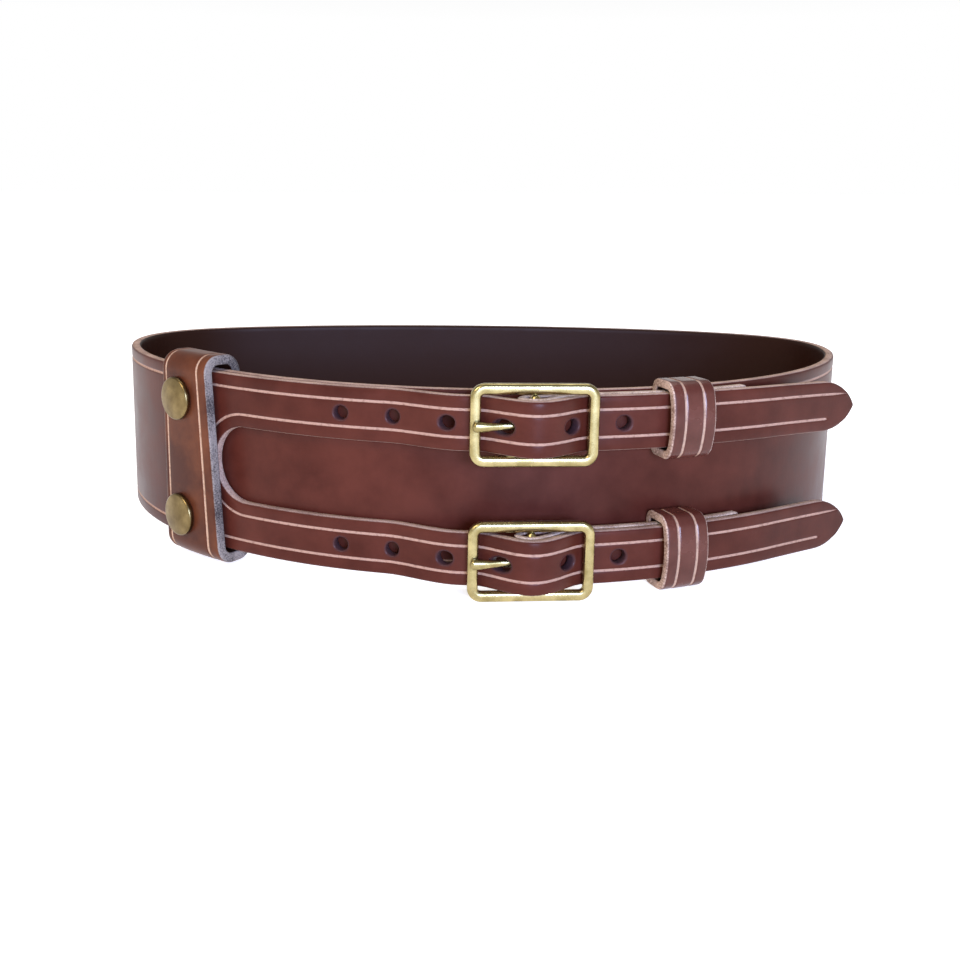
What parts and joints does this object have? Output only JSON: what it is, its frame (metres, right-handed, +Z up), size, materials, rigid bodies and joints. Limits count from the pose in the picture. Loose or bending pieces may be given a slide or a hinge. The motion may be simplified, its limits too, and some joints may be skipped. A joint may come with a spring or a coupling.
{
  "type": "waist belt",
  "caption": "Wide leather waist belt, buckled as a standing oval: its end is forked into straps that run through framed buckles and leather keepers.",
  "frame": {"origin": "middle of the bounding box, on the plane that the belt stands on", "axes": "+X along the oval's long side, to the right as one looks at the buckles; -Y to the front, where the buckles are; +Z up"},
  "size_m": [0.325, 0.2156, 0.0828],
  "materials": {
    "band_leather": "smooth dark brown leather with pale pressed lines along its edges",
    "keeper_leather": "smooth warmer brown leather with raw grey-brown cut ends",
    "antique_brass": "aged brass, worn bright on its edges and dull in its hollows"
  },
  "bodies": {
    "root": {"belt_band": "band_leather", "wide_keeper": "keeper_leather", "buckle_strap_upper": "band_leather", "buckle_strap_lower": "band_leather", "strap_keeper_upper": "keeper_leather", "strap_keeper_lower": "keeper_leather", "buckle_upper": "antique_brass", "buckle_lower": "antique_brass", "prong_upper": "antique_brass", "prong_lower": "antique_brass", "keeper_stud_upper": "antique_brass", "keeper_stud_lower": "antique_brass", "strap_rivet_upper": "antique_brass", "strap_rivet_lower": "antique_brass"}
  },
  "joints": []
}
